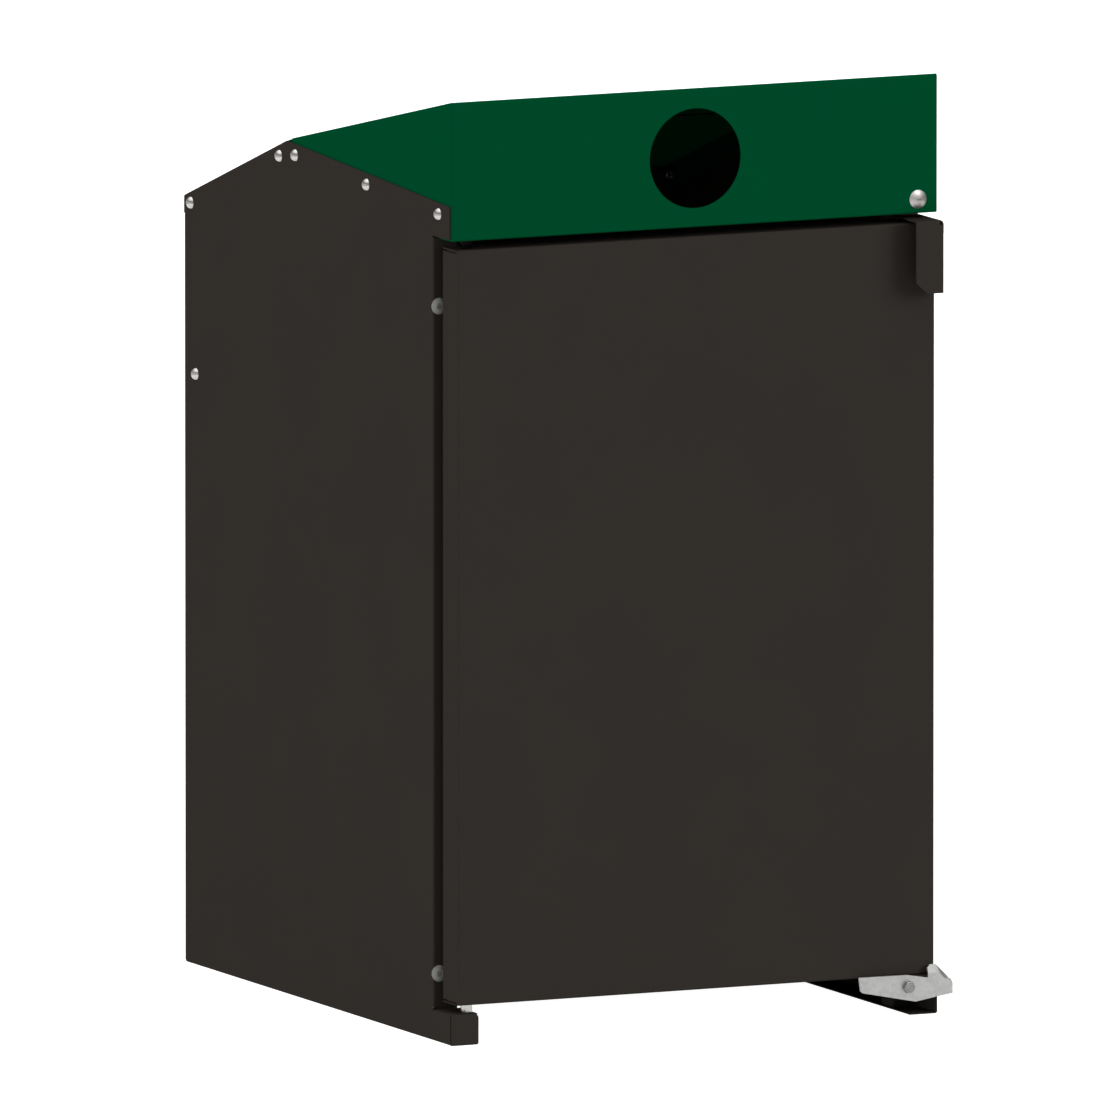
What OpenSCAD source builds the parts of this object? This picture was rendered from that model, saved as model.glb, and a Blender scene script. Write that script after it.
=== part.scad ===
// Bin shelter: a folded steel housing for one wheelie bin, with a hood, a swing door and a pedal latch.
// Millimetres, +Z up, the front faces -Y. The origin is on the ground, midway between the anchor holes.
// Pieces are drawn with X from the left outer face and Y back from the front plane, then placed.

/* [Body] */
// Width over both side panels
body_w = 800; // [700:1:900]
// Depth from the front plane to the rear face
body_d = 955; // [900:1:1050]
// Height of the hood's lower edge, over the door
hood_low_h = 1208; // [1180:1:1240]
// Distance of the side panel's rear edge below the hood's lower edge
rear_eave_drop = 44.5; // [30:0.5:60]
// Distance of the side panel's peak from the front plane
apex_y = 585.7; // [570:0.1:620]
// Height of the side panel's peak above the hood's lower edge
apex_rise = 82.2; // [75:0.1:95]
// Distance of the side panel's nose from the front plane
nose_y = 7; // [4:0.5:15]
// Height of the nose's front end above the hood's lower edge
nose_rise = 51.6; // [45:0.1:60]
// Distance of the jamb behind the front plane
jamb_y = 67; // [66.5:0.5:75]
// Width of the jamb flange beside the doorway
jamb_w = 40; // [38:1:44]
// Width of the flange behind the rear panel
rear_flange_w = 30; // [26:1:40]

/* [Sheet] */
// Thickness of the body and door sheet
sheet_t = 2; // [1.5:0.5:2.5]
// Inner radius of a fold
bend_r = 1.5; // [1:0.5:2]

/* [Hood] */
// Height of the hood's front face
hood_face_h = 209.4; // [195:0.1:230]
// Distance of the ridge, where hood and rear roof meet, from the front plane
ridge_y = 571; // [565:1:580]
// Depth of the return flange under the hood's front
hood_return = 47; // [42:1:55]
// How far the hood's and rear roof's sides lap down inside the side panels
cheek_lap = 37; // [32:1:45]
// Diameter of the throw-in hole
throw_d = 150; // [120:1:155]
// Height of the throw-in hole's centre above the hood's lower edge
throw_rise = 103.7; // [98:0.1:110]
// Height of the rear roof's lip down the back
lip_h = 25; // [20:1:25]
// Run of the rear roof's tongue under the hood
tongue_run = 30; // [20:1:40]

/* [Feet] */
// Height of a foot
foot_h = 47; // [40:1:50]
// Width of a foot
foot_w = 44; // [43:1:46]
// Width of the base flange along the ground
base_w = 45; // [44:1:55]
// Distance of an anchor hole from the side panel's outer face
anchor_x = 23; // [18:1:26]
// Distance of an anchor hole from the front plane or the rear face
anchor_y = 138; // [110:1:200]
// Diameter of an anchor hole
anchor_d = 11; // [9:0.5:14]

/* [Door] */
// Distance of the door's left edge from the left outer face
door_left_gap = 10; // [8:0.5:12]
// Distance of the door's right edge from the right outer face
door_right_gap = 5; // [4:0.5:6]
// Height of the door's lower edge
door_low_h = 60; // [60:1:66]
// Gap between the door and the hood
door_top_gap = 14; // [14:1:18]
// Depth of the door tray
door_depth = 52; // [48:1:53]
// Distance of the pivot line from the left outer face
pivot_x = 34; // [33:0.5:35]
// Distance of the pivot line behind the front plane
pivot_y = 22; // [20:0.5:24]
// Diameter of the pivot pins
pivot_d = 12; // [10:0.5:12]
// Radial running clearance of the pivots
run_fit = 0.05; // [0.02:0.01:0.08]
// Depth of the door's stiffening rails
rail_depth = 20; // [15:1:25]

/* [Handle] */
// Length of the handle along the door's edge
handle_len = 110; // [90:1:140]
// Width of the handle's front lip
handle_w = 46; // [40:1:48]
// How far the handle stands in front of the door
handle_reach = 28; // [18:1:30]
// Thickness of the handle plate
handle_t = 2.5; // [2:0.5:3]
// Gap between the handle's top and the hood
handle_gap = 8; // [5:1:9]

/* [Lock] */
// Distance of the lock from the right outer face
lock_x = 33; // [31:0.5:33.5]
// Height of the lock's axis above the hood's lower edge
lock_rise = 21.4; // [20:0.1:24]
// Diameter of the lock's round head
lock_d = 28; // [24:1:30]
// Reach of the lock cam from the lock's axis
cam_reach = 34; // [33:0.5:34.5]
// Width of the lock cam
cam_w = 12; // [10:1:14]

/* [Latch] */
// Distance of the latch pivot from the right outer face
latch_x = 53.4; // [53.4:0.1:56]
// Height of the latch pivot above the ground
latch_h = 44; // [43:0.1:44]
// Diameter of the latch pivot bolt
latch_bolt_d = 10; // [8:0.5:12]
// Thickness of the latch plate
latch_t = 4; // [3:0.5:5]
// Thickness of the latch bracket
bracket_t = 4; // [3:0.5:4]
// Distance of the catch pin behind the front plane
catch_y = 17; // [14:0.5:20]
// Height of the catch pin's axis
catch_h = 36; // [35.5:0.5:36]
// Diameter of the catch pin
catch_d = 10; // [8:0.5:10]

/* [Fasteners] */
// Diameter of the body bolts
bolt_d = 8; // [6:1:8]
// Diameter of the body bolts' domed heads
bolt_head_d = 19; // [17:0.5:22]
// Height of the body bolts' domed heads
bolt_head_h = 7; // [3:0.5:8]
// Distance of the roof bolts below the side panel's sloping edges
bolt_drop = 17; // [14:0.5:19]
// Distance of the first roof bolt behind the nose
roof_bolt_inset = 39.7; // [35:0.1:60]
// Distance of the rail bolt in front of the rear face
rail_bolt_inset = 41.6; // [38:0.1:60]
// Height of the rail bolt
rail_bolt_h = 897.4; // [850:0.1:950]
// Diameter of the jamb bolts
jamb_bolt_d = 10; // [8:1:10]
// Diameter of the jamb bolts' heads
jamb_head_d = 25; // [20:0.5:25]
// Height of the jamb bolts' heads
jamb_head_h = 5.4; // [4:0.1:5.4]
// Distance of the jamb bolts from the outer face
jamb_bolt_x = 10.5; // [10:0.5:12]
// Height of the lower jamb bolt
jamb_bolt_low_h = 100.6; // [90:0.1:120]
// Distance of the upper jamb bolt below the hood's lower edge
jamb_bolt_drop = 104.4; // [80:0.1:140]

/* [Output] */
// Piece to draw, or all of them

/* [Hidden] */

$fn = 48;
fold_steps = 6;
eps = 1;

dark_paint = "#332f2c";
green_paint = "#004526";
zinc = "#b9bcbc";
steel = "#c9cccc";
grey_cap = "#6e6e6e";
black = "#1c1c1c";

fold_r = bend_r + sheet_t;
relief = 1;
slit = 0.3;
foot_slot = 3;
foot_start = sheet_t + foot_slot;
seam = 0.2;
door_top_h = hood_low_h - door_top_gap;
jamb_low_h = foot_h + 3;
jamb_top_h = hood_low_h - 1;
nose_low_h = hood_low_h + 2;
nose_h = hood_low_h + nose_rise;
apex_h = hood_low_h + apex_rise;
rear_eave_h = hood_low_h - rear_eave_drop;
hood_top_h = hood_low_h + hood_face_h;
throw_h = hood_low_h + throw_rise;
rear_flange_top_h = rear_eave_h - lip_h - 2.5;
rear_plane = body_d - sheet_t;

rear_fall = (apex_h - rear_eave_h) / (body_d - apex_y);
front_rise = (apex_h - nose_h) / (apex_y - nose_y);
ridge_h = apex_h + rear_fall * (apex_y - ridge_y);
hood_fall = (hood_top_h - ridge_h) / ridge_y;
hood_angle = atan(hood_fall);

hood_bolt_first_y = nose_y + roof_bolt_inset;
hood_bolt_last_y = ridge_y - 15;
hood_bolt_ys = [hood_bolt_first_y, (hood_bolt_first_y + hood_bolt_last_y) / 2, hood_bolt_last_y];
roof_bolt_ys = [apex_y + 27, body_d - 24];
roof_bolt_spots = concat(
    [for (y = hood_bolt_ys) [y, front_edge(y) - bolt_drop]],
    [for (y = roof_bolt_ys) [y, rear_edge(y) - bolt_drop]]);
rail_bolt_spot = [body_d - rail_bolt_inset, rail_bolt_h];
jamb_bolt_hs = [jamb_bolt_low_h, hood_low_h - jamb_bolt_drop];
side_hole_d = bolt_d + 1;
washer_d = 2 * bolt_d + 1;
washer_t = 1.6;
nut_af = 1.625 * bolt_d;
nut_h = 0.8 * bolt_d;

post_t = 2.5;
post_x = fold_r + 0.1;
post_w = 42.5;
post_d = 36;
clinch_pilot_d = 12;
clinch_body_d = 15;
clinch_body_h = 9;

rail_h = 41;
rail_d = 24;
rear_bolt_x = 15;
rear_bolt_low_h = 120;
rear_bolt_high_h = rear_flange_top_h - 56;
rear_bolt_hs = [for (k = [0 : 3]) rear_bolt_low_h + k * (rear_bolt_high_h - rear_bolt_low_h) / 3];
lip_bolt_inset = 120;
lip_bolt_xs = [lip_bolt_inset, body_w / 2, body_w - lip_bolt_inset];
rear_bolt_d = 6;
rear_hole_d = 7;
rear_head_d = 14;
rear_head_h = 3.3;
rear_nut_af = 10;
rear_nut_h = 5;
rear_top_h = rear_eave_h - 8.5;
rear_low_h = 12;
rear_foot_fold = 20;
rear_top_fold = 10;
lip_bolt_h = rear_eave_h - 16.5;

collar_d = 17.5;
bush_d = 16;
bush_collar_d = 17;
bush_low_h = 6;
bush_high_h = 3;
thrust_gap = 0.1;
foot_plate_t = 5;
door_plate_t = 4;
hood_plate_t = 4;
pin_thread_d = 12;
pin_nut_af = 18;
pin_nut_h = 7;

buffer_d = 14;
buffer_hs = [300, 900];
buffer_x = body_w - 12;
door_right = body_w - door_right_gap;
door_corner_gap = 3;
door_rail_inset = 190;
door_rail_hs = [door_low_h + door_rail_inset, (door_low_h + door_top_h) / 2, door_top_h - door_rail_inset];
door_rail_t = 1.5;
door_rail_face = 44;
door_rail_lip = 18;
door_plate_w = 54;

handle_right = door_right + handle_t;
handle_top_h = hood_low_h - handle_gap;
handle_low_h = handle_top_h - handle_len;
handle_back_y = door_depth - 2;
handle_cut = [18, 17];
rivet_d = 5;
rivet_spots = [[door_depth / 2, handle_low_h + 24], [door_depth / 2, handle_top_h - 26]];

lock_at = [body_w - lock_x, 0, hood_low_h + lock_rise];
lock_head_h = 6;
lock_body_d = 20;
lock_body_back = 12;
barrel_d = 14;
lock_nut_h = 5;
lock_nut_af = 26;
cam_t = 3;
cam_y = 12.5;
cam_tip = cam_w / 2;
cam_room = 1.5;

latch_at = [body_w - latch_x, 0, latch_h];
bracket_gap = 2;
bracket_front = -(bracket_gap + bracket_t);
bracket_w = 60;
bracket_inset = 15;
bracket_x = [body_w - bracket_inset - bracket_w, body_w - bracket_inset];
bracket_low_h = 34;
bracket_back_y = 36;
latch_washer_t = 1;
latch_washer_d = 20;
latch_back = bracket_front - latch_washer_t;
latch_front = latch_back - latch_t;
latch_head_af = 16;
latch_head_h = 6.4;
latch_nut_h = 5;
bracket_screw_xs = [bracket_x[0] + 10, bracket_x[1] - 8];
bracket_screw_y = 24;
bracket_screw_d = 6;

// Outline of the latch plate's flat, seen from the front, from the pivot: X to the right, Z up.
latch_flat = [[-80.5, 19], [-78, -1.4], [-74, -4.8], [12.4, -22.6], [46.7, -17], [72.7, -13.5],
              [73.7, 2.9], [70.4, 9.4], [61.5, 9.3], [52.5, 19.4], [33, 19.4], [32.7, 12.4], [-1.5, 18.4]];
// The tab over the flat leans back about its lower edge. Its points are seen from the front too.
latch_tab = [[0, -0.5], [19.5, -0.5], [15.2, 12], [5.4, 12.4], [0, 8.1]];
latch_tab_lean = 20;
// The rim beside the tab folds back about the flat's slanted edge, from that edge's upper end.
latch_rim_from = latch_flat[9];
latch_rim_to = latch_flat[8];
latch_rim = [[0, -0.5], [13.5, -0.5], [19.4, 6.7], [-11.8, 4.8]];
latch_rim_fold = 45;
hook_x = 73.7;
hook_low = -13.5;
hook_high = 2.9;
hook_back_y = catch_y + 13;
hook_room = 0.4;
stud_x = -38;
stud_d = 8;

catch_shoulder = [14, 12];
catch_end = 8;

// Edges, faces and frames that several pieces share.
function front_edge(y) = nose_h + front_rise * (y - nose_y);
function rear_edge(y) = apex_h - rear_fall * (y - apex_y);
function hood_surface(y) = hood_top_h - hood_fall * y;
function heading(a, b) = atan2(b[1] - a[1], b[0] - a[0]);
function polar(r, a) = [r * cos(a), r * sin(a)];
function wrapped(a) = a - 360 * round(a / 360);
function reversed(v) = [for (i = [len(v) - 1 : -1 : 0]) v[i]];

// Points round one fold of a sheet that lies to the left of its path, at the depth off from the path.
function fold_arc(p, i, t, r, off) =
    let (h = heading(p[i - 1], p[i]),
         turn = wrapped(heading(p[i], p[i + 1]) - h),
         s = sign(turn),
         path_r = s > 0 ? r + t : r,
         arc_r = s > 0 ? r + t - off : r + off,
         c = p[i] - polar(path_r * tan(abs(turn) / 2), h) + polar(s * path_r, h + 90))
    [for (k = [0 : fold_steps]) c + polar(s * arc_r, h - 90 + turn * k / fold_steps)];

// One face of a folded sheet, at the depth off from its path.
function sheet_face(p, t, r, off) =
    let (n = len(p))
    concat([p[0] + polar(off, heading(p[0], p[1]) + 90)],
           [for (i = [1 : n - 2]) each fold_arc(p, i, t, r, off)],
           [p[n - 1] + polar(off, heading(p[n - 2], p[n - 1]) + 90)]);

// Section of a folded sheet: the path is one face, and the sheet lies to its left.
module sheet_section(path, t = sheet_t, r = bend_r)
    polygon(concat(sheet_face(path, t, r, 0), reversed(sheet_face(path, t, r, t))));

// Section drawn in Y and Z, run along X.
module along_x(from, to)
    translate([from, 0, 0])
        rotate([90, 0, 90])
            linear_extrude(to - from)
                children();

// Section drawn in X and Z, run along Y.
module along_y(from, to)
    translate([0, to, 0])
        rotate([90, 0, 0])
            linear_extrude(to - from)
                children();

// Section drawn in X and Y, run along Z.
module along_z(from, to)
    translate([0, 0, from])
        linear_extrude(to - from)
            children();

// From the front left corner's frame to the part's frame.
module placed()
    translate([-body_w / 2, -body_d / 2, 0])
        children();

// The same on the right hand side.
module placed_right()
    mirror([1, 0, 0])
        placed()
            children();

module both_sides() {
    placed() children();
    placed_right() children();
}

// Turned so that what rises along Z goes inwards from the left side, backwards or forwards.
module inward() rotate([0, 90, 0]) children();
module backward() rotate([-90, 0, 0]) children();
module forward() rotate([90, 0, 0]) children();

// Fasteners stand on Z = 0 with their shank upwards and their head below.
module dome(d, h) {
    ball_r = (d * d / 4 + h * h) / (2 * h);
    intersection() {
        translate([0, 0, h - ball_r])
            sphere(ball_r);
        cylinder(h = h, d = d);
    }
}

module dome_bolt(d, shank, head_d, head_h) {
    cylinder(h = shank, d = d);
    mirror([0, 0, 1])
        dome(head_d, head_h);
}

module hex(af, h) {
    flat_r = 0.48 * af;
    intersection() {
        cylinder(h = h, d = af / cos(30), $fn = 6);
        cylinder(h = h, r1 = flat_r + h / tan(30), r2 = flat_r);
    }
}

module hex_bolt(d, shank, af, head_h) {
    cylinder(h = shank, d = d);
    mirror([0, 0, 1])
        hex(af, head_h);
}

module hex_nut(d, af, h)
    difference() {
        hex(af, h);
        translate([0, 0, -eps])
            cylinder(h = h + 2 * eps, d = d);
    }

module ring(outer, inner, h)
    difference() {
        cylinder(h = h, d = outer);
        translate([0, 0, -eps])
            cylinder(h = h + 2 * eps, d = inner);
    }

// Side panel: wall, base flange, foot, jamb flange and rear flange of one folded sheet. The wall, the base
// flange and the foot's top begin at the depth start.
module side_wall(start)
    along_x(0, sheet_t)
        polygon([[start, fold_r],
                 [body_d - fold_r, fold_r],
                 [body_d - fold_r, rear_flange_top_h + relief],
                 [body_d, rear_flange_top_h + relief],
                 each fold_arc([[body_d, 0], [body_d, rear_eave_h], [apex_y, apex_h]], 1, sheet_t, bend_r, 0),
                 [apex_y, apex_h],
                 [nose_y, nose_h],
                 [nose_y, nose_low_h],
                 [jamb_y, nose_low_h],
                 [jamb_y, jamb_top_h + slit],
                 [jamb_y + fold_r, jamb_top_h + slit],
                 [jamb_y + fold_r, jamb_low_h - slit],
                 [jamb_y, jamb_low_h - slit],
                 [jamb_y, foot_h - fold_r],
                 [start, foot_h - fold_r]]);

module base_flange(start)
    along_y(start, body_d - fold_r - relief / 2)
        sheet_section([[0, 4 * fold_r], [0, 0], [base_w, 0]]);

module foot_top(start)
    along_y(start, jamb_y - relief)
        sheet_section([[foot_w, foot_h], [0, foot_h], [0, foot_h - 3 * fold_r]]);

// The left foot's front is folded up from the base flange, with an open slot beside the wall.
module foot_front() {
    top_r = 7;
    low_r = 3;
    back = 4 * fold_r;
    difference() {
        intersection() {
            along_x(0, foot_w)
                sheet_section([[0, foot_h], [0, 0], [back, 0]]);
            along_y(-eps, back + eps)
                union() {
                    square([foot_w - top_r, foot_h]);
                    translate([0, low_r])
                        square([foot_w, foot_h - top_r - low_r]);
                    translate([foot_w - top_r, foot_h - top_r])
                        circle(top_r);
                    translate([foot_w - low_r, low_r])
                        circle(low_r);
                }
        }
        translate([-eps, fold_r, -eps])
            cube([fold_r + relief + eps, back, sheet_t + 2 * eps]);
    }
}

module jamb_flange()
    along_z(jamb_low_h, jamb_top_h)
        sheet_section([[0, jamb_y + 4 * fold_r], [0, jamb_y], [jamb_w, jamb_y]]);

module rear_flange()
    along_z(fold_r + relief, rear_flange_top_h)
        sheet_section([[rear_flange_w, body_d], [0, body_d], [0, body_d - 4 * fold_r]]);

module side_panel_shape(start)
    difference() {
        union() {
            side_wall(start);
            base_flange(start);
            foot_top(start);
            if (start > 0)
                foot_front();
            jamb_flange();
            rear_flange();
        }
        for (s = concat(roof_bolt_spots, [rail_bolt_spot]))
            translate([-eps, s[0], s[1]])
                inward()
                    cylinder(h = sheet_t + 2 * eps, d = side_hole_d);
        for (y = [anchor_y, body_d - anchor_y])
            translate([anchor_x, y, -eps])
                cylinder(h = sheet_t + 2 * eps, d = anchor_d);
        for (z = jamb_bolt_hs)
            translate([jamb_bolt_x, jamb_y - eps, z])
                backward()
                    cylinder(h = sheet_t + 2 * eps, d = jamb_bolt_d + 1);
        for (z = rear_bolt_hs)
            translate([rear_bolt_x, body_d + eps, z])
                forward()
                    cylinder(h = sheet_t + 2 * eps, d = rear_hole_d);
    }

module left_side_panel()
    color(dark_paint)
        placed()
            difference() {
                side_panel_shape(foot_start);
                translate([pivot_x, pivot_y, foot_h - sheet_t - eps])
                    cylinder(h = sheet_t + 2 * eps, d = pin_thread_d);
            }

// The right foot carries no pivot, and its front is left open.
module right_side_panel()
    color(dark_paint)
        placed_right()
            difference() {
                side_panel_shape(0);
                translate([-eps, catch_y, catch_h])
                    inward()
                        cylinder(h = sheet_t + 2 * eps, d = catch_d);
            }

// Rear panel: a flat sheet inside the side panels' rear flanges, with a short fold at foot and top.
module rear_panel()
    color(dark_paint)
        placed()
            difference() {
                along_x(sheet_t + bend_r + 0.5, body_w - sheet_t - bend_r - 0.5)
                    sheet_section([[rear_plane - rear_foot_fold, rear_low_h], [rear_plane, rear_low_h],
                                   [rear_plane, rear_top_h], [rear_plane - rear_top_fold, rear_top_h]]);
                for (x = [rear_bolt_x, body_w - rear_bolt_x], z = rear_bolt_hs)
                    translate([x, rear_plane + eps, z])
                        forward()
                            cylinder(h = sheet_t + 2 * eps, d = rear_hole_d);
                for (x = lip_bolt_xs)
                    translate([x, rear_plane + eps, lip_bolt_h])
                        forward()
                            cylinder(h = sheet_t + 2 * eps, d = rear_hole_d);
            }

// Hood: front, top and return flange from one sheet, with a cheek lapped inside each side panel.
module hood_cheek(from) {
    front = sheet_t + 0.6;
    back = ridge_y - relief;
    low = hood_low_h + sheet_t / 2;
    along_x(from, from + sheet_t)
        polygon([[front, low],
                 [hood_return, low],
                 [hood_return, front_edge(hood_return) - cheek_lap],
                 [back, front_edge(back) - cheek_lap],
                 [back, hood_surface(back) - sheet_t / 2],
                 [front, hood_surface(front) - sheet_t / 2]]);
}

module hood()
    color(green_paint)
        placed()
            difference() {
                union() {
                    along_x(sheet_t, body_w - sheet_t)
                        sheet_section([[ridge_y, ridge_h], [0, hood_top_h],
                                       [0, hood_low_h], [hood_return, hood_low_h]]);
                    hood_cheek(sheet_t);
                    hood_cheek(body_w - 2 * sheet_t);
                }
                translate([body_w / 2, -eps, throw_h])
                    backward()
                        cylinder(h = sheet_t + 2 * eps, d = throw_d, $fn = 96);
                translate([lock_at[0], -eps, lock_at[2]])
                    backward()
                        cylinder(h = sheet_t + 2 * eps, d = lock_body_d + 0.6);
                translate([pivot_x, pivot_y, hood_low_h - eps])
                    cylinder(h = sheet_t + 2 * eps, d = pin_thread_d);
                cam_slot(hood_low_h, sheet_t);
                for (s = [for (y = hood_bolt_ys) [y, front_edge(y) - bolt_drop]])
                    translate([sheet_t - eps, s[0], s[1]])
                        inward()
                            cylinder(h = body_w - 2 * sheet_t + 2 * eps, d = side_hole_d);
            }

// The room that the lock cam sweeps through a level plate of thickness t.
module cam_slot(low, t) {
    drop = lock_at[2] - low - t;
    left = sqrt(pow(cam_reach, 2) - pow(drop, 2)) + 2 * cam_room;
    translate([lock_at[0] - left, cam_y - cam_room, low - eps])
        cube([left + cam_tip + cam_room, cam_t + 2 * cam_room, t + 2 * eps]);
}

// Rear roof: the rear slope, joggled under the hood's end, with side flanges and a lip down the back.
module roof_cheek(from) {
    front = ridge_y + 9;
    back = rear_plane - 2;
    along_x(from, from + sheet_t)
        polygon([[front, rear_edge(front) - cheek_lap],
                 [back, rear_edge(back) - cheek_lap],
                 [back, rear_edge(back) - sheet_t / 2],
                 [front + 5, rear_edge(front + 5) - sheet_t / 2],
                 [front, rear_edge(front) - 2 * sheet_t]]);
}

module rear_roof() {
    under = (sheet_t + seam) / cos(hood_angle);
    joggle_end = ridge_y + 1.5;
    slope_start = joggle_end + 5;
    tongue_end = ridge_y - tongue_run;
    color(green_paint)
        placed()
            difference() {
                union() {
                    along_x(sheet_t, body_w - sheet_t)
                        sheet_section([[body_d, rear_eave_h - lip_h], [body_d, rear_eave_h],
                                       [slope_start, rear_edge(slope_start)],
                                       [joggle_end, hood_surface(joggle_end) - under],
                                       [tongue_end, hood_surface(tongue_end) - under]]);
                    roof_cheek(sheet_t);
                    roof_cheek(body_w - 2 * sheet_t);
                }
                for (x = [sheet_t - eps, body_w - 2 * sheet_t - relief])
                    translate([x, tongue_end - eps, ridge_h - cheek_lap])
                        cube([sheet_t + relief + eps, tongue_run + relief + eps, 2 * cheek_lap]);
                for (s = [for (y = roof_bolt_ys) [y, rear_edge(y) - bolt_drop]])
                    translate([sheet_t - eps, s[0], s[1]])
                        inward()
                            cylinder(h = body_w - 2 * sheet_t + 2 * eps, d = side_hole_d);
                for (x = lip_bolt_xs)
                    translate([x, body_d + eps, lip_bolt_h])
                        forward()
                            cylinder(h = sheet_t + 2 * eps, d = rear_hole_d);
            }
}

// Front posts: folded angles behind the jambs, each on two clinch nuts.
module front_post_shape() {
    face = jamb_y + sheet_t;
    difference() {
        along_z(sheet_t, hood_low_h - 8)
            sheet_section([[post_x, face], [post_w, face], [post_w, face + post_d]], post_t);
        for (z = jamb_bolt_hs)
            translate([jamb_bolt_x, face - eps, z])
                backward()
                    cylinder(h = post_t + 2 * eps, d = clinch_pilot_d);
    }
}

module left_front_post()
    color(dark_paint)
        placed()
            front_post_shape();

module right_front_post()
    color(dark_paint)
        placed_right()
            front_post_shape();

// Rear cross rail: a channel between the side panels that the bin backs up against.
module rear_cross_rail() {
    front = rail_bolt_spot[0] - rail_d / 2;
    back = front + rail_d;
    low = rail_bolt_spot[1] - rail_h / 2;
    high = low + rail_h;
    color(dark_paint)
        placed()
            difference() {
                union() {
                    along_x(sheet_t, body_w - sheet_t)
                        sheet_section([[back, high], [front, high], [front, low], [back, low]]);
                    for (x = [sheet_t, body_w - 2 * sheet_t])
                        translate([x, front + sheet_t / 2, low + sheet_t / 2])
                            cube([sheet_t, rail_d - sheet_t / 2, rail_h - sheet_t]);
                }
                for (x = [sheet_t, body_w - 2 * sheet_t])
                    translate([x - eps, rail_bolt_spot[0], rail_bolt_spot[1]])
                        inward()
                            cylinder(h = sheet_t + 2 * eps, d = side_hole_d);
            }
}

// Domed bolts with washers and nuts through the side panels.
module at_side_spots(spots, depth)
    both_sides()
        for (s = spots)
            translate([depth, s[0], s[1]])
                inward()
                    children();

module roof_bolts()
    color(steel)
        at_side_spots(roof_bolt_spots, 0)
            dome_bolt(bolt_d, 2 * sheet_t + washer_t + nut_h + 2, bolt_head_d, bolt_head_h);

module roof_washers()
    color(zinc)
        at_side_spots(roof_bolt_spots, 2 * sheet_t)
            ring(washer_d, bolt_d, washer_t);

module roof_nuts()
    color(zinc)
        at_side_spots(roof_bolt_spots, 2 * sheet_t + washer_t)
            hex_nut(bolt_d, nut_af, nut_h);

module rail_bolts()
    color(steel)
        at_side_spots([rail_bolt_spot], 0)
            dome_bolt(bolt_d, 2 * sheet_t + nut_h + 2, bolt_head_d, bolt_head_h);

module rail_nuts()
    color(zinc)
        at_side_spots([rail_bolt_spot], 2 * sheet_t)
            hex_nut(bolt_d, nut_af, nut_h);

// Small domed screws and nuts that hold the rear panel to the side panels and the rear roof's lip.
module at_rear_spots(depth)
    placed() {
        for (x = [rear_bolt_x, body_w - rear_bolt_x], z = rear_bolt_hs)
            translate([x, body_d - depth, z])
                forward()
                    children();
        for (x = lip_bolt_xs)
            translate([x, body_d - depth, lip_bolt_h])
                forward()
                    children();
    }

module rear_panel_bolts()
    color(steel)
        at_rear_spots(0)
            dome_bolt(rear_bolt_d, 2 * sheet_t + rear_nut_h + 1, rear_head_d, rear_head_h);

module rear_panel_nuts()
    color(zinc)
        at_rear_spots(2 * sheet_t)
            hex_nut(rear_bolt_d, rear_nut_af, rear_nut_h);

// Jamb bolts: flat-topped domes with a hexagon socket, facing forward, in clinch nuts on the front posts.
module at_jamb_spots(depth)
    both_sides()
        for (z = jamb_bolt_hs)
            translate([jamb_bolt_x, jamb_y + depth, z])
                backward()
                    children();

module jamb_bolts()
    color(grey_cap)
        at_jamb_spots(0)
            difference() {
                union() {
                    cylinder(h = sheet_t + post_t + clinch_body_h + 2, d = jamb_bolt_d);
                    mirror([0, 0, 1])
                        intersection() {
                            dome(jamb_head_d, jamb_head_h + 1.5);
                            cylinder(h = jamb_head_h, d = jamb_head_d);
                        }
                }
                translate([0, 0, -jamb_head_h - eps])
                    cylinder(h = 1.5 + eps, d = 0.6 * jamb_bolt_d / cos(30), $fn = 6);
            }

module jamb_clinch_nuts()
    color(zinc)
        at_jamb_spots(sheet_t)
            difference() {
                union() {
                    cylinder(h = post_t, d = clinch_pilot_d);
                    translate([0, 0, post_t])
                        cylinder(h = clinch_body_h, d = clinch_body_d);
                }
                translate([0, 0, -eps])
                    cylinder(h = post_t + clinch_body_h + 2 * eps, d = jamb_bolt_d);
            }

// Pivots: a collared pin on the left foot under the door, and a dropped-in pin from the hood above it.
module foot_pivot_plate()
    color(zinc)
        placed()
            difference() {
                translate([sheet_t + bend_r + 0.5, sheet_t + bend_r + 0.5, foot_h - sheet_t - foot_plate_t])
                    cube([foot_w - 5, jamb_y - 9, foot_plate_t]);
                translate([pivot_x, pivot_y, foot_h - sheet_t - foot_plate_t - eps])
                    cylinder(h = foot_plate_t + 2 * eps, d = pin_thread_d);
            }

module lower_pivot_pin() {
    thread_low = foot_h - sheet_t - foot_plate_t - pin_nut_h - 2;
    collar_top = door_low_h - bush_low_h - thrust_gap;
    color(steel)
        placed()
            translate([pivot_x, pivot_y, 0]) {
                translate([0, 0, thread_low])
                    cylinder(h = foot_h - thread_low, d = pin_thread_d);
                translate([0, 0, foot_h])
                    cylinder(h = collar_top - foot_h, d = collar_d);
                translate([0, 0, collar_top])
                    cylinder(h = door_low_h + sheet_t + door_plate_t + 3 - collar_top, d = pivot_d);
            }
}

module lower_pivot_nut()
    color(zinc)
        placed()
            translate([pivot_x, pivot_y, foot_h - sheet_t - foot_plate_t - pin_nut_h])
                rotate([0, 0, 30])
                    hex_nut(pin_thread_d, pin_nut_af, pin_nut_h);

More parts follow.
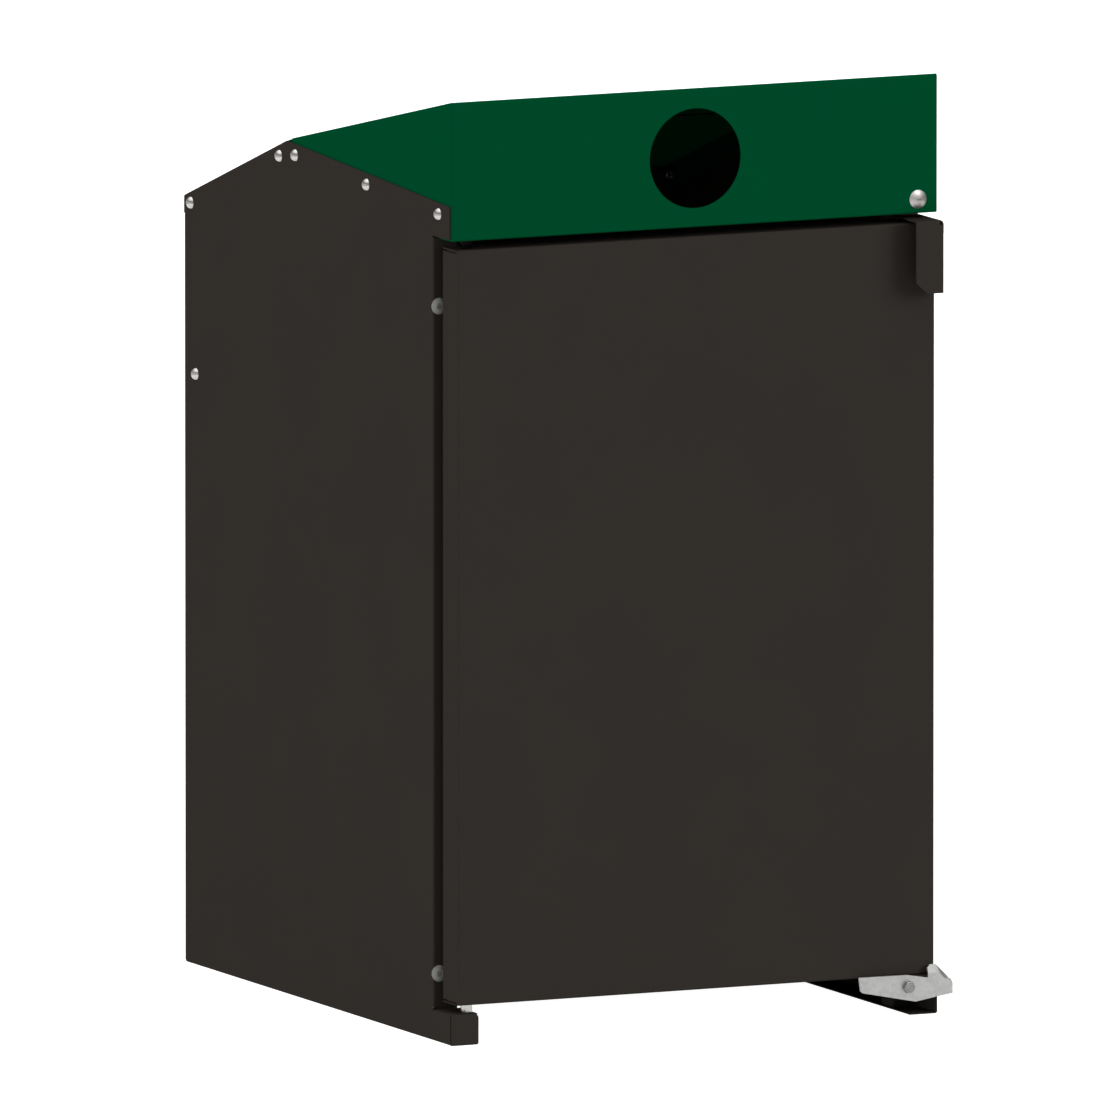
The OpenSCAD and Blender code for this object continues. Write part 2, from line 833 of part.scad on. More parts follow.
module hood_pivot_plate()
    color(zinc)
        placed()
            difference() {
                translate([2 * sheet_t + 1, sheet_t + bend_r + 0.5, hood_low_h + sheet_t])
                    cube([door_plate_w, hood_return - 6, hood_plate_t]);
                translate([pivot_x, pivot_y, hood_low_h + sheet_t - eps])
                    cylinder(h = hood_plate_t + 2 * eps, d = pin_thread_d);
            }

module upper_pivot_pin() {
    low = door_top_h - sheet_t - door_plate_t - 3;
    head_low = hood_low_h + sheet_t + hood_plate_t;
    color(black)
        placed()
            translate([pivot_x, pivot_y, 0]) {
                translate([0, 0, low])
                    cylinder(h = hood_low_h - pin_nut_h - low, d = pivot_d);
                translate([0, 0, hood_low_h - pin_nut_h])
                    cylinder(h = head_low - hood_low_h + pin_nut_h, d = pin_thread_d);
                translate([0, 0, head_low])
                    hex(pin_nut_af, 7.5);
            }
}

module upper_pivot_nut()
    color(black)
        placed()
            translate([pivot_x, pivot_y, hood_low_h - pin_nut_h])
                hex_nut(pin_thread_d, pin_nut_af, pin_nut_h);

// Rubber buffers on the right jamb that the closed door rests against.
module door_buffers() {
    reach = jamb_y - door_depth - seam;
    color(black)
        placed()
            for (z = buffer_hs)
                translate([buffer_x, jamb_y, z])
                    forward()
                        cylinder(h = reach, d = buffer_d);
}

// Catch pin: riveted through the right foot's side, with a shoulder that sets the hook's distance.
module catch_pin()
    color(zinc)
        placed_right()
            translate([0, catch_y, catch_h])
                inward() {
                    translate([0, 0, -catch_shoulder[1] - catch_end - 2])
                        cylinder(h = catch_shoulder[1] + catch_end + 2 + sheet_t, d = catch_d);
                    translate([0, 0, -catch_shoulder[1]])
                        cylinder(h = catch_shoulder[1], d = catch_shoulder[0]);
                    translate([0, 0, sheet_t])
                        cylinder(h = 3, d = catch_shoulder[0]);
                }

// Lock: a domed housing nutted through the hood's front, with a barrel that turns the cam.
module at_lock()
    placed()
        translate(lock_at)
            backward()
                children();

module lock_housing()
    color(steel)
        at_lock()
            difference() {
                union() {
                    mirror([0, 0, 1])
                        dome(lock_d, lock_head_h);
                    cylinder(h = lock_body_back - 0.5, d = lock_body_d);
                }
                translate([0, 0, -lock_head_h - eps])
                    cylinder(h = lock_head_h + lock_body_back + 2 * eps, d = barrel_d + 2 * run_fit);
            }

module lock_nut()
    color(zinc)
        at_lock()
            translate([0, 0, sheet_t])
                hex_nut(lock_body_d, lock_nut_af, lock_nut_h);

module lock_barrel()
    color(steel)
        at_lock()
            difference() {
                union() {
                    mirror([0, 0, 1])
                        intersection() {
                            dome(lock_d, lock_head_h);
                            cylinder(h = lock_head_h, d = barrel_d);
                        }
                    cylinder(h = cam_y, d = barrel_d);
                    translate([-4, -4, cam_y])
                        cube([8, 8, cam_t]);
                }
                translate([-4, -0.8, -lock_head_h - eps])
                    cube([8, 1.6, eps + 2.5]);
                translate([0, 0, cam_y - 6])
                    cylinder(h = cam_t + 6 + eps, d = 5);
            }

module lock_cam()
    color(zinc)
        at_lock()
            translate([0, 0, cam_y])
                difference() {
                    union() {
                        cylinder(h = cam_t, d = cam_w + 4);
                        translate([-cam_reach + cam_tip, 0, 0])
                            cylinder(h = cam_t, r = cam_tip);
                        translate([-cam_reach + cam_tip, -cam_tip, 0])
                            cube([cam_reach - cam_tip, cam_w, cam_t]);
                    }
                    translate([-4, -4, -eps])
                        cube([8, 8, cam_t + 2 * eps]);
                }

module cam_screw()
    color(zinc)
        at_lock()
            translate([0, 0, cam_y - 6]) {
                cylinder(h = 6 + cam_t, d = 5);
                translate([0, 0, 6 + cam_t])
                    cylinder(h = 1, d = 13);
                translate([0, 0, 7 + cam_t])
                    hex(8, 3.5);
            }

// Door: a tray folded on all four sides, with an open gap at its corners under the level flanges.
module door_panel() {
    left = door_left_gap;
    inner_left = left + fold_r + 0.5;
    inner_right = door_right - fold_r - 0.5;
    flange_front = fold_r + relief;
    flange_step = sheet_t + door_corner_gap;
    color(dark_paint)
        placed()
            difference() {
                union() {
                    difference() {
                        along_z(door_low_h + 0.5, door_top_h - 0.5)
                            sheet_section([[left, door_depth], [left, 0],
                                           [door_right, 0], [door_right, door_depth]]);
                        for (z = [door_low_h - eps, door_top_h - fold_r])
                            translate([left + fold_r, -eps, z])
                                cube([door_right - left - 2 * fold_r, fold_r + 2 * eps, fold_r + eps]);
                        for (z = [door_low_h - eps, door_top_h - flange_step])
                            translate([left - eps, fold_r, z])
                                cube([door_right - left + 2 * eps, door_depth, flange_step + eps]);
                    }
                    along_x(inner_left, inner_right)
                        sheet_section([[door_depth, door_top_h], [0, door_top_h],
                                       [0, door_top_h - 4 * fold_r]]);
                    along_x(inner_left, inner_right)
                        sheet_section([[0, door_low_h + 4 * fold_r], [0, door_low_h],
                                       [door_depth, door_low_h]]);
                    for (z = [door_low_h, door_top_h - sheet_t])
                        translate([left, flange_front, z])
                            cube([door_right - left, door_depth - flange_front, sheet_t]);
                }
                for (z = [door_low_h, door_top_h - sheet_t])
                    translate([pivot_x, pivot_y, z - eps])
                        cylinder(h = sheet_t + 2 * eps, d = bush_d);
                for (x = bracket_screw_xs)
                    translate([x, bracket_screw_y, door_low_h - eps])
                        cylinder(h = sheet_t + 2 * eps, d = bracket_screw_d);
                for (s = rivet_spots)
                    translate([door_right - sheet_t - eps, s[0], s[1]])
                        inward()
                            cylinder(h = sheet_t + 2 * eps, d = rivet_d);
            }
}

module door_stiffeners() {
    face = sheet_t;
    half = door_rail_face / 2;
    side_room = fold_r + 2;
    color(dark_paint)
        placed()
            for (z = door_rail_hs)
                along_x(door_left_gap + side_room, door_right - side_room)
                    sheet_section([[face, z + half + door_rail_lip], [face, z + half],
                                   [face + rail_depth, z + half], [face + rail_depth, z - half],
                                   [face, z - half], [face, z - half - door_rail_lip]],
                                  door_rail_t, 1);
}

module door_pivot_plates() {
    inset = sheet_t + bend_r + 0.5;
    color(dark_paint)
        placed()
            for (z = [door_low_h + sheet_t, door_top_h - sheet_t - door_plate_t])
                difference() {
                    translate([door_left_gap + inset, inset, z])
                        cube([door_plate_w, door_depth - inset - 4, door_plate_t]);
                    translate([pivot_x, pivot_y, z - eps])
                        cylinder(h = door_plate_t + 2 * eps, d = bush_d);
                }
}

// Door bushes: pressed into the tray and its pivot plates, each with a collar outside the tray.
module pivot_bush(collar) {
    sleeve = sheet_t + door_plate_t;
    difference() {
        union() {
            cylinder(h = sleeve, d = bush_d);
            translate([0, 0, -collar])
                cylinder(h = collar, d = bush_collar_d);
        }
        translate([0, 0, -collar - eps])
            cylinder(h = sleeve + collar + 2 * eps, d = pivot_d + 2 * run_fit);
    }
}

module lower_door_bush()
    color(steel)
        placed()
            translate([pivot_x, pivot_y, door_low_h])
                pivot_bush(bush_low_h);

module upper_door_bush()
    color(black)
        placed()
            translate([pivot_x, pivot_y, door_top_h])
                mirror([0, 0, 1])
                    pivot_bush(bush_high_h);

// Handle: a plate folded round the door's right edge, with a lip to pull and a flap the cam drops through.
module door_handle() {
    lip_left = handle_right - handle_w;
    top_r = 5;
    color(dark_paint)
        placed()
            difference() {
                union() {
                    along_z(handle_low_h, handle_top_h - top_r - handle_t)
                        sheet_section([[lip_left, -handle_reach], [handle_right, -handle_reach],
                                       [handle_right, handle_back_y]], handle_t);
                    translate([lip_left, -handle_reach, handle_low_h])
                        cube([handle_w - top_r - handle_t, handle_t, handle_top_h - handle_low_h]);
                    along_y(handle_t - handle_reach, handle_back_y)
                        sheet_section([[handle_right, handle_top_h - 20], [handle_right, handle_top_h],
                                       [lip_left, handle_top_h]], handle_t, top_r);
                }
                along_y(-handle_reach - eps, handle_t - handle_reach + eps)
                    polygon([[lip_left - eps, handle_low_h - eps],
                             [lip_left + handle_cut[0], handle_low_h - eps],
                             [lip_left + handle_cut[0], handle_low_h],
                             [lip_left, handle_low_h + handle_cut[1]],
                             [lip_left - eps, handle_low_h + handle_cut[1]]]);
                cam_slot(handle_top_h - handle_t, handle_t);
                for (s = rivet_spots)
                    translate([door_right - eps, s[0], s[1]])
                        inward()
                            cylinder(h = handle_t + 2 * eps, d = rivet_d);
            }
}

module handle_rivets()
    color(black)
        placed()
            for (s = rivet_spots)
                translate([handle_right, s[0], s[1]])
                    mirror([1, 0, 0])
                        inward() {
                            dome_bolt(rivet_d, handle_t + sheet_t, 2 * rivet_d, 1.6);
                            translate([0, 0, handle_t + sheet_t])
                                cylinder(h = 3, d = 1.6 * rivet_d);
                        }

// Latch bracket: an angle screwed under the door that carries the pedal latch in front of the right foot.
module latch_bracket()
    color(dark_paint)
        placed()
            difference() {
                along_x(bracket_x[0], bracket_x[1])
                    sheet_section([[bracket_back_y, door_low_h], [bracket_front, door_low_h],
                                   [bracket_front, bracket_low_h]], bracket_t, 1);
                for (x = bracket_screw_xs)
                    translate([x, bracket_screw_y, door_low_h - bracket_t - eps])
                        cylinder(h = bracket_t + 2 * eps, d = bracket_screw_d);
                translate([latch_at[0], bracket_front - eps, latch_at[2]])
                    backward()
                        cylinder(h = bracket_t + 2 * eps, d = latch_bolt_d);
            }

module bracket_screws()
    color(black)
        placed()
            for (x = bracket_screw_xs)
                translate([x, bracket_screw_y, door_low_h - bracket_t])
                    dome_bolt(bracket_screw_d, bracket_t + sheet_t + 6, 11, 3.3);

module bracket_nuts()
    color(zinc)
        placed()
            for (x = bracket_screw_xs)
                translate([x, bracket_screw_y, door_low_h + sheet_t])
                    hex_nut(bracket_screw_d, 10, 5);

module at_latch(depth)
    placed()
        translate([latch_at[0], depth, latch_at[2]])
            backward()
                children();

module latch_bolt()
    color(zinc)
        at_latch(latch_front - thrust_gap)
            hex_bolt(latch_bolt_d, latch_t + thrust_gap + latch_washer_t + bracket_t + latch_nut_h + 1,
                     latch_head_af, latch_head_h);

module latch_washer()
    color(zinc)
        at_latch(bracket_front - latch_washer_t + seam / 4)
            ring(latch_washer_d, latch_bolt_d, latch_washer_t - seam / 4);

module latch_nut()
    color(zinc)
        at_latch(bracket_front + bracket_t)
            rotate([0, 0, 30])
                hex_nut(latch_bolt_d, latch_head_af, latch_nut_h);

// Latch plate: pedal arm to the left, folded rims, and a hook flange that drops over the catch pin.
module latch_rims() {
    rim_angle = -heading(latch_rim_from, latch_rim_to);
    translate([latch_flat[10][0], 0, latch_flat[10][1]])
        rotate([-latch_tab_lean, 0, 0])
            along_y(0, latch_t)
                polygon([for (p = latch_tab) [p[0], p[1] / cos(latch_tab_lean)]]);
    translate([latch_rim_from[0], 0, latch_rim_from[1]])
        rotate([0, rim_angle, 0])
            rotate([-latch_rim_fold, 0, 0])
                along_y(0, latch_t)
                    polygon([for (p = latch_rim) [p[0], p[1] / cos(latch_rim_fold)]]);
}

module latch_hook() {
    pin = [catch_y - latch_front, catch_h - latch_at[2]];
    notch_r = catch_d / 2 + hook_room;
    difference() {
        translate([hook_x - latch_t, 0, hook_low])
            cube([latch_t, hook_back_y - latch_front, hook_high - hook_low]);
        translate([hook_x - latch_t - eps, pin[0], pin[1]])
            inward()
                cylinder(h = latch_t + 2 * eps, r = notch_r);
        translate([hook_x - latch_t - eps, pin[0] - notch_r, hook_low - eps])
            cube([latch_t + 2 * eps, 2 * notch_r, pin[1] - hook_low + eps]);
    }
}

module latch_plate()
    color(zinc)
        placed()
            translate([latch_at[0], latch_front, latch_at[2]])
                difference() {
                    union() {
                        along_y(0, latch_t)
                            polygon(latch_flat);
                        latch_rims();
                        latch_hook();
                    }
                    translate([0, -eps, 0])
                        backward()
                            cylinder(h = latch_t + 2 * eps, d = latch_bolt_d + 2 * run_fit);
                    stud_shape();
                }

// Stop stud: riveted in the plate's back, it meets the door's underside when the latch has dropped.
module stud_shape() {
    rise = door_low_h - latch_at[2] - stud_d / 2 - thrust_gap;
    translate([stud_x, 1, rise])
        backward()
            cylinder(h = latch_t - 1 + 12, d = stud_d);
}

module latch_stop_stud()
    color(zinc)
        placed()
            translate([latch_at[0], latch_front, latch_at[2]])
                stud_shape();

left_side_panel();
right_side_panel();
rear_panel();
hood();
rear_roof();
left_front_post();
right_front_post();
rear_cross_rail();
roof_bolts();
roof_washers();
roof_nuts();
rail_bolts();
rail_nuts();
rear_panel_bolts();
rear_panel_nuts();
jamb_bolts();
jamb_clinch_nuts();
foot_pivot_plate();
lower_pivot_pin();
lower_pivot_nut();
hood_pivot_plate();
upper_pivot_pin();
upper_pivot_nut();
door_buffers();
catch_pin();
lock_housing();
lock_nut();
door_panel();
door_stiffeners();
door_pivot_plates();
lower_door_bush();
upper_door_bush();
door_handle();
handle_rivets();
latch_bracket();
bracket_screws();
bracket_nuts();
latch_bolt();
latch_washer();
latch_nut();
latch_plate();
latch_stop_stud();
lock_barrel();
lock_cam();
cam_screw();
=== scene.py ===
import math

import bpy
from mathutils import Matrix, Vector


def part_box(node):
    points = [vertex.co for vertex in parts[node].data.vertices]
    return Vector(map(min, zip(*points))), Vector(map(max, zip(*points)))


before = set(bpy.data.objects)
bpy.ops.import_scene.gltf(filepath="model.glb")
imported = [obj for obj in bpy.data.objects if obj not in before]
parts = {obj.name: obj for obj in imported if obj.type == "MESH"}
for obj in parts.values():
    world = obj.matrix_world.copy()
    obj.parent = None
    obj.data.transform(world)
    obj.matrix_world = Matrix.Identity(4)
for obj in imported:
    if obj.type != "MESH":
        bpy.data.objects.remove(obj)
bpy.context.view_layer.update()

scene = bpy.context.scene

# The camera: a very long lens from the left and a little above, as parallel as the photograph's view.
MM = 0.001
FRAME_PX = 1120
MM_PER_PX = 1.495
VIEW_LEFT = math.radians(25.0)
VIEW_UP = math.radians(8.0)
LENS_MM = 1700.0
SENSOR_MM = 36.0
LOOK_AT = Vector((0.4, 0.0, 646.9)) * MM

# The scale holds this far in front of the point looked at, midway between the near and far edges seen.
TRUE_SCALE_NEARER = 0.17

frame_width = FRAME_PX * MM_PER_PX * MM
distance = frame_width * LENS_MM / SENSOR_MM + TRUE_SCALE_NEARER
into_scene = Vector((math.cos(VIEW_UP) * math.sin(VIEW_LEFT),
                     math.cos(VIEW_UP) * math.cos(VIEW_LEFT),
                     -math.sin(VIEW_UP)))
camera_data = bpy.data.cameras.new("camera")
camera_data.lens = LENS_MM
camera_data.sensor_width = SENSOR_MM
camera_data.clip_start = 1.0
camera_data.clip_end = 200.0
camera = bpy.data.objects.new("camera", camera_data)
camera.location = LOOK_AT - into_scene * distance
camera.rotation_euler = into_scene.to_track_quat("-Z", "Y").to_euler()
scene.collection.objects.link(camera)
scene.camera = camera
scene.view_settings.view_transform = "Standard"
scene.view_settings.look = "None"


def linear(hex_colour):
    """A hex sRGB colour as linear RGBA: each channel c becomes c/12.92 or ((c + 0.055)/1.055)^2.4."""
    channels = [int(hex_colour[i:i + 2], 16) / 255 for i in (1, 3, 5)]
    return [c / 12.92 if c <= 0.04045 else ((c + 0.055) / 1.055) ** 2.4 for c in channels] + [1.0]


def add(tree, kind, values=None, links=None, **settings):
    """Adds a node, sets its properties, gives its inputs their values and joins its inputs to outputs."""
    node = tree.nodes.new(kind)
    for name, value in settings.items():
        setattr(node, name, value)
    for name, value in (values or {}).items():
        node.inputs[name].default_value = value
    for name, socket in (links or {}).items():
        tree.links.new(socket, node.inputs[name])
    return node


def new_material(name):
    """An empty node material and the object coordinates that its patterns use."""
    material = bpy.data.materials.new(name)
    material.use_nodes = True
    tree = material.node_tree
    tree.nodes.clear()
    coordinates = add(tree, "ShaderNodeTexCoord")
    return material, tree, coordinates.outputs["Object"]


def finish_material(tree, shader):
    """Joins the shader to the material's surface."""
    add(tree, "ShaderNodeOutputMaterial", links={"Surface": shader.outputs["BSDF"]})


# The sky is a light tent: brightest overhead and dim at the horizon, so bare metal has something to mirror.
# Its strength goes with the sine of the height above the horizon. The camera itself sees plain white.
TENT_HORIZON = 0.18
TENT_ZENITH = 2.2
TENT_DIM_BELOW = 0.35

world = bpy.data.worlds.new("light_tent")
scene.world = world
world.use_nodes = True
world.node_tree.nodes.clear()
heading = add(world.node_tree, "ShaderNodeTexCoord")
split = add(world.node_tree, "ShaderNodeSeparateXYZ", links={"Vector": heading.outputs["Generated"]})
glow = add(world.node_tree, "ShaderNodeMapRange",
           {"From Min": TENT_DIM_BELOW, "From Max": 1.0, "To Min": TENT_HORIZON, "To Max": TENT_ZENITH},
           {"Value": split.outputs["Z"]})
sky = add(world.node_tree, "ShaderNodeBackground", {"Color": (1, 1, 1, 1)},
          {"Strength": glow.outputs["Result"]})
backdrop = add(world.node_tree, "ShaderNodeBackground", {"Color": (1, 1, 1, 1), "Strength": 1.0})
ray = add(world.node_tree, "ShaderNodeLightPath")
seen = add(world.node_tree, "ShaderNodeMixShader", links={"Fac": ray.outputs["Is Camera Ray"]})
world.node_tree.links.new(sky.outputs["Background"], seen.inputs[1])
world.node_tree.links.new(backdrop.outputs["Background"], seen.inputs[2])
add(world.node_tree, "ShaderNodeOutputWorld", links={"Surface": seen.outputs["Shader"]})


# Two wide softboxes: the left one lights only the side, the right one the front, so that what stands off
# the door throws its shadow to the left. Metal mirrors neither, but only the small sparkle lamp.
def far_light(name, to_right, height, strength, spread, mirrored=False):
    """A far light from the given degrees to the right of the front and above the ground."""
    azimuth, elevation = math.radians(to_right), math.radians(height)
    towards = Vector((math.cos(elevation) * math.sin(azimuth),
                      -math.cos(elevation) * math.cos(azimuth),
                      math.sin(elevation)))
    light = bpy.data.lights.new(name, "SUN")
    light.energy = strength
    light.angle = math.radians(spread)
    lamp = bpy.data.objects.new(name, light)
    lamp.rotation_euler = towards.to_track_quat("Z", "Y").to_euler()
    lamp.visible_glossy = mirrored
    lamp.visible_diffuse = not mirrored
    scene.collection.objects.link(lamp)


far_light("softbox_right", 50, 14, 3.7, 34)
far_light("softbox_left", -86, 14, 2.6, 30)
far_light("sparkle", 24, 50, 0.9, 12, mirrored=True)

# The floor is a white light table. The camera sees it evenly white, and it lights the shelter less.
FLOOR_SIZE = 60.0
FLOOR_GLOW = 0.8
FLOOR_GLOW_SEEN = 1.0

floor_mesh = bpy.data.meshes.new("floor")
floor_mesh.from_pydata([(-FLOOR_SIZE, -FLOOR_SIZE, 0), (FLOOR_SIZE, -FLOOR_SIZE, 0),
                        (FLOOR_SIZE, FLOOR_SIZE, 0), (-FLOOR_SIZE, FLOOR_SIZE, 0)], [], [(0, 1, 2, 3)])
floor = bpy.data.objects.new("floor", floor_mesh)
scene.collection.objects.link(floor)
floor_paint, tree, _ = new_material("white light table")
ray = add(tree, "ShaderNodeLightPath")
floor_glow = add(tree, "ShaderNodeMapRange", {"To Min": FLOOR_GLOW, "To Max": FLOOR_GLOW_SEEN},
                 {"Value": ray.outputs["Is Camera Ray"]})
finish_material(tree, add(tree, "ShaderNodeBsdfPrincipled",
                          {"Base Color": linear("#9c9c9c"), "Roughness": 0.9, "Specular IOR Level": 0.0,
                           "Emission Color": (1, 1, 1, 1)},
                          {"Emission Strength": floor_glow.outputs["Result"]}))
floor_mesh.materials.append(floor_paint)

# Grey flags stand in a ring round the shelter, seen only in the metals: they draw the dark band and the
# dark right side on each round head. The ring darkens from left to right.
FLAGS_RADIUS = 4.0
FLAGS_HEIGHT = 1.9
FLAGS_SIDES = 48
FLAGS_LEFT_GLOW = 0.8
FLAGS_RIGHT_GLOW = 0.03

turns = [math.tau * k / FLAGS_SIDES for k in range(FLAGS_SIDES)]
corners = [(FLAGS_RADIUS * math.cos(turn), FLAGS_RADIUS * math.sin(turn)) for turn in turns]
ring_mesh = bpy.data.meshes.new("flags")
ring_mesh.from_pydata([(x, y, z) for z in (0.0, FLAGS_HEIGHT) for x, y in corners], [],
                      [(k, (k + 1) % FLAGS_SIDES, (k + 1) % FLAGS_SIDES + FLAGS_SIDES, k + FLAGS_SIDES)
                       for k in range(FLAGS_SIDES)])
flags = bpy.data.objects.new("flags", ring_mesh)
scene.collection.objects.link(flags)
for kind in ("camera", "diffuse", "transmission", "volume_scatter", "shadow"):
    setattr(flags, "visible_" + kind, False)
grey_cloth, tree, spot = new_material("grey flag cloth")
across = add(tree, "ShaderNodeSeparateXYZ", links={"Vector": spot})
fade = add(tree, "ShaderNodeMapRange", {"From Min": -FLAGS_RADIUS, "From Max": FLAGS_RADIUS,
                                        "To Min": FLAGS_LEFT_GLOW, "To Max": FLAGS_RIGHT_GLOW},
           {"Value": across.outputs["X"]})
finish_material(tree, add(tree, "ShaderNodeBsdfPrincipled",
                          {"Base Color": (0, 0, 0, 1), "Specular IOR Level": 0.0,
                           "Emission Color": (1, 1, 1, 1)},
                          {"Emission Strength": fade.outputs["Result"]}))
ring_mesh.materials.append(grey_cloth)


# The body and the door are folded from steel sheet and coated with a dark grey-brown polyester powder.
# The powder is baked on, so it is matt, with a fine orange peel and hardly any change of tone.
# Real orange peel is about 1 mm across; 3 mm is the finest that shows in the render.
CLOUD_SIZE = 180 * MM
PEEL_SIZE = 3 * MM
PEEL_DEPTH = 0.2 * MM
PEEL_GLOSS_SPREAD = 0.04


def powder_coat(name, colour, second_colour, roughness):
    """Baked powder: two close tones in soft clouds, and an orange peel of small shallow bumps."""
    material, tree, spot = new_material(name)
    clouds = add(tree, "ShaderNodeTexNoise", {"Scale": 1 / CLOUD_SIZE, "Detail": 3.0, "Roughness": 0.55},
                 {"Vector": spot})
    tones = add(tree, "ShaderNodeMix", {"A": linear(colour), "B": linear(second_colour)},
                data_type="RGBA")
    tree.links.new(clouds.outputs["Fac"], tones.inputs["Factor"])
    peel = add(tree, "ShaderNodeTexNoise", {"Scale": 1 / PEEL_SIZE, "Detail": 1.0, "Roughness": 0.4},
               {"Vector": spot})
    bumps = add(tree, "ShaderNodeBump", {"Strength": 0.12, "Distance": PEEL_DEPTH},
                {"Height": peel.outputs["Fac"]})
    gloss = add(tree, "ShaderNodeMapRange", {"To Min": roughness - PEEL_GLOSS_SPREAD,
                                             "To Max": roughness + PEEL_GLOSS_SPREAD},
                {"Value": peel.outputs["Fac"]})
    shader = add(tree, "ShaderNodeBsdfPrincipled", {"Specular IOR Level": 0.0},
                 {"Base Color": tones.outputs["Result"], "Roughness": gloss.outputs["Result"],
                  "Normal": bumps.outputs["Normal"]})
    finish_material(tree, shader)
    return material


def dress(names, material):
    """Gives CAD nodes one material in place of what they came with."""
    for name in names:
        mesh = parts[name].data
        mesh.materials.clear()
        mesh.materials.append(material)


brown_powder = powder_coat("dark brown powder coat", "#23201e", "#262320", 0.55)
dress(["left_side_panel", "right_side_panel", "rear_panel", "rear_cross_rail", "door_panel",
       "door_stiffeners", "door_pivot_plates", "door_handle", "latch_bracket", "left_front_post",
       "right_front_post"], brown_powder)


# The hood and the rear roof are folded from the same steel sheet and bolted to the side panels.
# They are coated a deep green, with the same matt powder.
green_powder = powder_coat("deep green powder coat", "#00331b", "#00361d", 0.5)
dress(["hood", "rear_roof"], green_powder)


# Nuts, washers, pins and plates inside are electroplated with zinc, a soft grey with a fine uneven grain.
# The plating follows the rolled or pressed steel under it, so its gloss changes a little from spot to spot.
GRAIN_DEPTH = 0.3 * MM
GRAIN_SHADE = 0.8
GRAIN_GLOSS_SPREAD = 0.07


def plated(name, colour, roughness, grain_mm, relief):
    """Bare or plated metal: two close tones, an uneven gloss and a bump, all in grains of the size given."""
    material, tree, spot = new_material(name)
    mottle = add(tree, "ShaderNodeTexNoise",
                 {"Scale": 1 / (grain_mm * MM), "Detail": 3.0, "Roughness": 0.6}, {"Vector": spot})
    dark = [c * GRAIN_SHADE for c in linear(colour)[:3]] + [1.0]
    tones = add(tree, "ShaderNodeMix", {"A": dark, "B": linear(colour)}, data_type="RGBA")
    tree.links.new(mottle.outputs["Fac"], tones.inputs["Factor"])
    gloss = add(tree, "ShaderNodeMapRange", {"To Min": roughness - GRAIN_GLOSS_SPREAD,
                                             "To Max": roughness + GRAIN_GLOSS_SPREAD},
                {"Value": mottle.outputs["Fac"]})
    grain = add(tree, "ShaderNodeBump", {"Strength": relief, "Distance": GRAIN_DEPTH},
                {"Height": mottle.outputs["Fac"]})
    shader = add(tree, "ShaderNodeBsdfPrincipled", {"Metallic": 1.0},
                 {"Base Color": tones.outputs["Result"], "Roughness": gloss.outputs["Result"],
                  "Normal": grain.outputs["Normal"]})
    finish_material(tree, shader)
    return material


zinc_plate = plated("zinc plating", "#a4a6a6", 0.42, 3.0, 0.1)
dress(["roof_washers", "roof_nuts", "rail_nuts", "rear_panel_nuts", "jamb_clinch_nuts", "foot_pivot_plate",
       "lower_pivot_nut", "hood_pivot_plate", "catch_pin", "lock_nut", "bracket_nuts", "latch_washer",
       "latch_nut", "latch_stop_stud", "lock_cam", "cam_screw"], zinc_plate)


# The round-headed side bolts, the rear screws, the lower pivot pin and its bush are stainless steel.
# They are cold formed and tumbled, which leaves them bright with a slightly soft reflection.
stainless = plated("tumbled stainless steel", "#c4c2be", 0.24, 4.0, 0.06)
dress(["roof_bolts", "rail_bolts", "rear_panel_bolts", "lower_pivot_pin", "lower_door_bush"], stainless)


# The upper pivot, its bush, the handle's rivets and the screws under the door are blackened steel.
# The oxide is dark and dull, so they hardly show beside the brown powder.
black_oxide = plated("blackened steel", "#1b1a19", 0.55, 3.0, 0.05)
dress(["upper_pivot_pin", "upper_pivot_nut", "upper_door_bush", "handle_rivets", "bracket_screws"],
      black_oxide)


# The jamb bolts clamp the jambs to the front posts. Their flat-topped heads are coated a matt mid grey,
# with the same orange peel as the powder.
grey_coat = powder_coat("mid grey bolt coat", "#60615e", "#6a6b68", 0.5)
dress(["jamb_bolts"], grey_coat)


# Two moulded buffers of black rubber sit on the right jamb, and the closed door rests against them.
# Rubber is duller than the powder and all but black.
black_rubber = powder_coat("black rubber", "#121212", "#171717", 0.8)
dress(["door_buffers"], black_rubber)


# The lock's head is turned stainless steel: the tool leaves rings about its axis, which fan the light out.
# The rings are 0.4 mm apart on the real head, and are drawn at 0.9 mm to show.
RING_PITCH = 0.9 * MM
GROOVE_DEPTH = 0.2 * MM
# The grooves are painted this much darker, as the shade that falls in them.
GROOVE_PAINTED_SHADE = 0.75

# Blender's ring pattern repeats every 2 pi / 20 units at scale 1.
RING_PATTERN_PITCH = math.tau / 20


def turned_steel(name, colour, roughness, centre):
    """Turned metal: a sine of the distance from the axis along Y through the centre, as fine grooves, with
    painted shade in them.
    """
    material, tree, spot = new_material(name)
    centred = add(tree, "ShaderNodeMapping", {"Location": [-c for c in centre]}, {"Vector": spot})
    rings = add(tree, "ShaderNodeTexWave", {"Scale": RING_PATTERN_PITCH / RING_PITCH, "Distortion": 0.6},
                {"Vector": centred.outputs["Vector"]}, wave_type="RINGS", rings_direction="Y")
    grooves = add(tree, "ShaderNodeBump", {"Strength": 0.25, "Distance": GROOVE_DEPTH},
                  {"Height": rings.outputs["Fac"]})
    # Painted shade: the bottoms of the grooves are coloured darker than the ridges.
    dark = [c * GROOVE_PAINTED_SHADE for c in linear(colour)[:3]] + [1.0]
    tones = add(tree, "ShaderNodeMix", {"A": dark, "B": linear(colour)}, data_type="RGBA")
    tree.links.new(rings.outputs["Fac"], tones.inputs["Factor"])
    shader = add(tree, "ShaderNodeBsdfPrincipled", {"Metallic": 1.0, "Roughness": roughness},
                 {"Base Color": tones.outputs["Result"], "Normal": grooves.outputs["Normal"]})
    finish_material(tree, shader)
    return material


